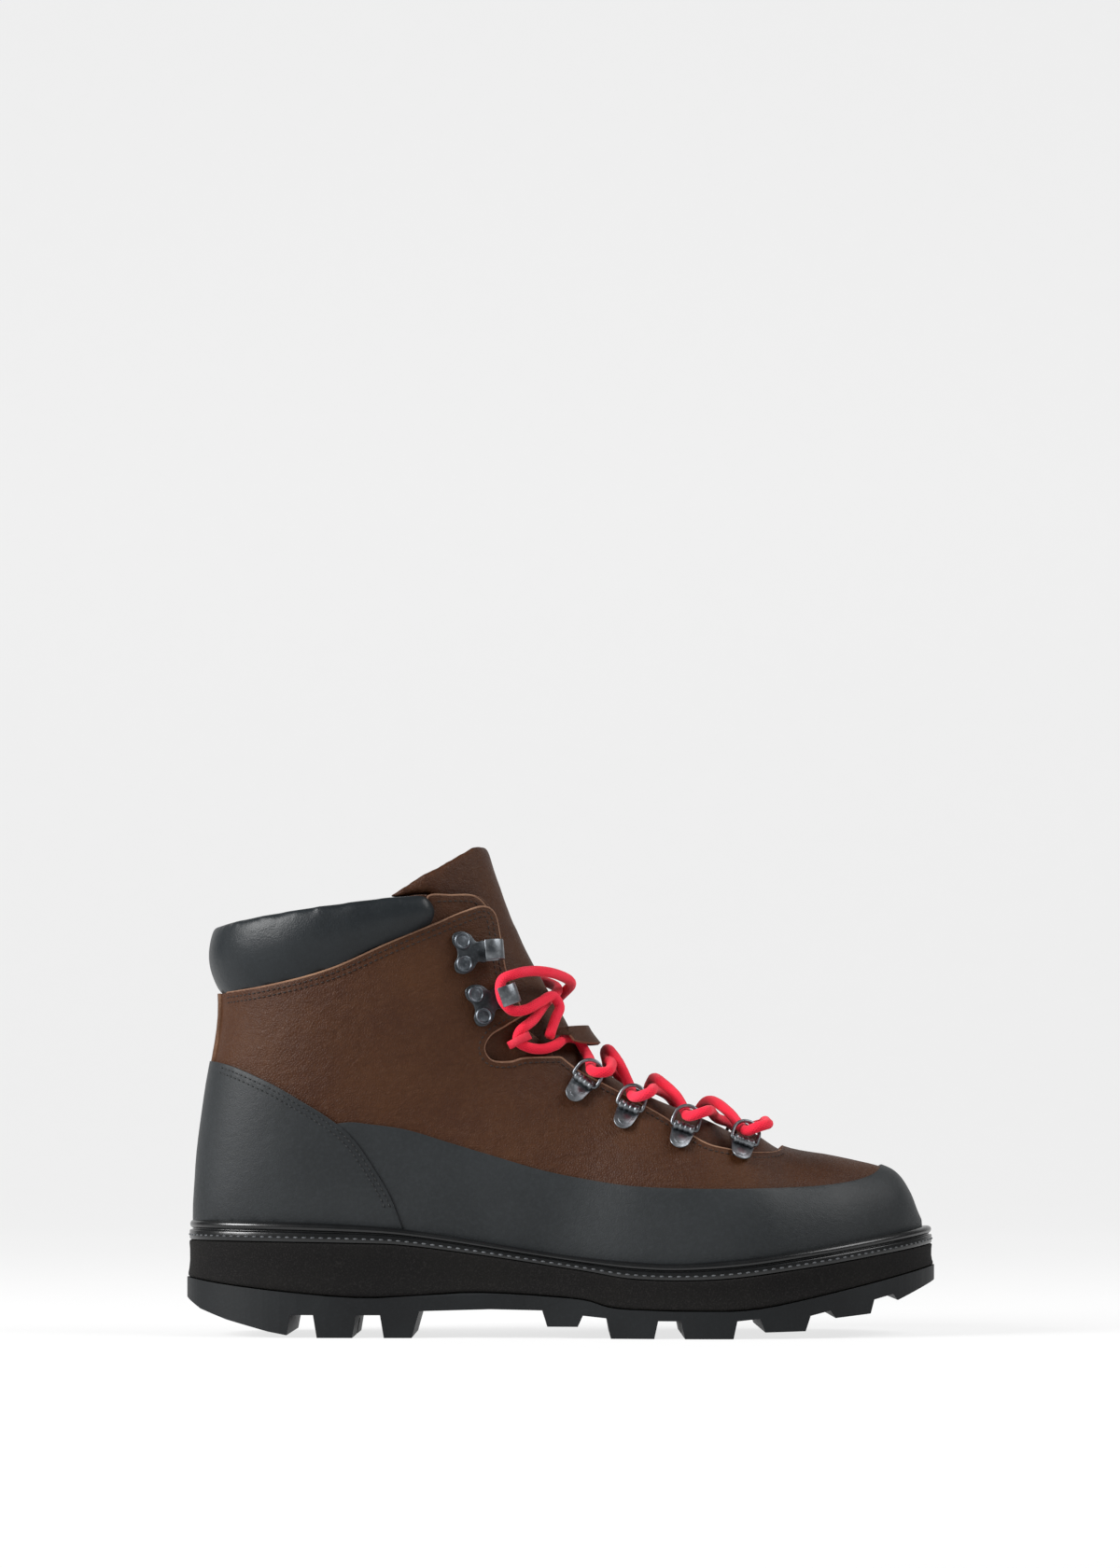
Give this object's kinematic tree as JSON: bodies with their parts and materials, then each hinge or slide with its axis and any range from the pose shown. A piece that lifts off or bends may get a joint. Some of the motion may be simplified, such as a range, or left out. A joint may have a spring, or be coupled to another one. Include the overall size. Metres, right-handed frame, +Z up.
{
  "type": "hiking boot",
  "caption": "Right hiking boot with lugged sole, stitched welt, leather upper, padded collar, swinging lace rings, hooks and a round lace.",
  "frame": {"origin": "on the ground under the middle of the boot's box", "axes": "+X to the toe, +Y to the inner side of the foot, +Z up"},
  "size_m": [0.3022, 0.1082, 0.1972],
  "materials": {
    "outsole_rubber": "matt moulded",
    "midsole_rubber": "fine sanded grain",
    "welt_rubber": "glossy bead with pale stitching",
    "brown_leather": "waxed nubuck",
    "charcoal_leather": "matt nubuck",
    "collar_leather": "smooth satin",
    "lining_textile": "knit",
    "cork_board": "cork and fibre board",
    "steel": "bare",
    "gunmetal": "gunmetal plating",
    "black_metal": "black lacquer",
    "red_textile": "round woven cord"
  },
  "bodies": {
    "boot": {"outsole": "outsole_rubber", "midsole": "midsole_rubber", "welt": "welt_rubber", "cork_filler": "cork_board", "shank": "steel", "insole_board": "cork_board", "footbed": "lining_textile", "upper": "brown_leather", "inner_quarter": "brown_leather", "heel_cap": "charcoal_leather", "toe_rand": "charcoal_leather", "back_strip": "brown_leather", "collar_pad": "collar_leather", "tongue_top": "brown_leather", "tongue_lower": "brown_leather", "lining_front": "lining_textile", "lining_back": "lining_textile", "heel_counter": "cork_board", "toe_puff": "cork_board", "facing_tab_outer": "brown_leather", "gusset_outer": "brown_leather", "facing_tab_inner": "brown_leather", "gusset_inner": "brown_leather", "tongue_loop": "brown_leather", "ring_clip_outer_1": "gunmetal", "ring_clip_outer_2": "gunmetal", "ring_clip_outer_3": "gunmetal", "ring_clip_outer_4": "gunmetal", "ring_clip_inner_1": "gunmetal", "ring_clip_inner_2": "gunmetal", "ring_clip_inner_3": "gunmetal", "ring_clip_inner_4": "gunmetal", "hook_upper_outer": "black_metal", "hook_rivet_upper_outer_1": "black_metal", "hook_rivet_upper_outer_2": "black_metal", "hook_lower_outer": "black_metal", "hook_rivet_lower_outer_1": "black_metal", "hook_rivet_lower_outer_2": "black_metal", "hook_upper_inner": "black_metal", "hook_rivet_upper_inner_1": "black_metal", "hook_rivet_upper_inner_2": "black_metal", "hook_lower_inner": "black_metal", "hook_rivet_lower_inner_1": "black_metal", "hook_rivet_lower_inner_2": "black_metal", "lace_keeper_outer": "red_textile", "lace_keeper_inner": "red_textile", "lace": "red_textile"},
    "ring_outer_1": {"lace_ring_outer_1": "gunmetal"},
    "ring_outer_2": {"lace_ring_outer_2": "gunmetal"},
    "ring_outer_3": {"lace_ring_outer_3": "gunmetal"},
    "ring_outer_4": {"lace_ring_outer_4": "gunmetal"},
    "ring_inner_1": {"lace_ring_inner_1": "gunmetal"},
    "ring_inner_2": {"lace_ring_inner_2": "gunmetal"},
    "ring_inner_3": {"lace_ring_inner_3": "gunmetal"},
    "ring_inner_4": {"lace_ring_inner_4": "gunmetal"}
  },
  "joints": [
    {"name": "ring_outer_1_swing", "type": "hinge", "parent": "boot", "child": "ring_outer_1", "pos_m": [0.0089, -0.02898, 0.10176], "axis": [0.8117, -0.0392, -0.5828], "range_deg": [-8, 8]},
    {"name": "ring_outer_2_swing", "type": "hinge", "parent": "boot", "child": "ring_outer_2", "pos_m": [0.02685, -0.03182, 0.09124], "axis": [0.928, -0.1136, -0.3549], "range_deg": [-8, 8]},
    {"name": "ring_outer_3_swing", "type": "hinge", "parent": "boot", "child": "ring_outer_3", "pos_m": [0.0485, -0.03504, 0.08317], "axis": [0.9455, -0.0399, -0.323], "range_deg": [-8, 8]},
    {"name": "ring_outer_4_swing", "type": "hinge", "parent": "boot", "child": "ring_outer_4", "pos_m": [0.07235, -0.03212, 0.07766], "axis": [0.9362, 0.0932, -0.339], "range_deg": [-8, 8]},
    {"name": "ring_inner_1_swing", "type": "hinge", "parent": "boot", "child": "ring_inner_1", "pos_m": [0.00922, 0.02419, 0.10177], "axis": [-0.7816, 0.0377, 0.6226], "range_deg": [-8, 8]},
    {"name": "ring_inner_2_swing", "type": "hinge", "parent": "boot", "child": "ring_inner_2", "pos_m": [0.02675, 0.02776, 0.09126], "axis": [-0.9322, -0.1441, 0.3321], "range_deg": [-8, 8]},
    {"name": "ring_inner_3_swing", "type": "hinge", "parent": "boot", "child": "ring_inner_3", "pos_m": [0.04845, 0.033, 0.08324], "axis": [-0.9507, -0.0569, 0.305], "range_deg": [-8, 8]},
    {"name": "ring_inner_4_swing", "type": "hinge", "parent": "boot", "child": "ring_inner_4", "pos_m": [0.07214, 0.03189, 0.07772], "axis": [-0.9593, 0.044, 0.279], "range_deg": [-8, 8]}
  ]
}
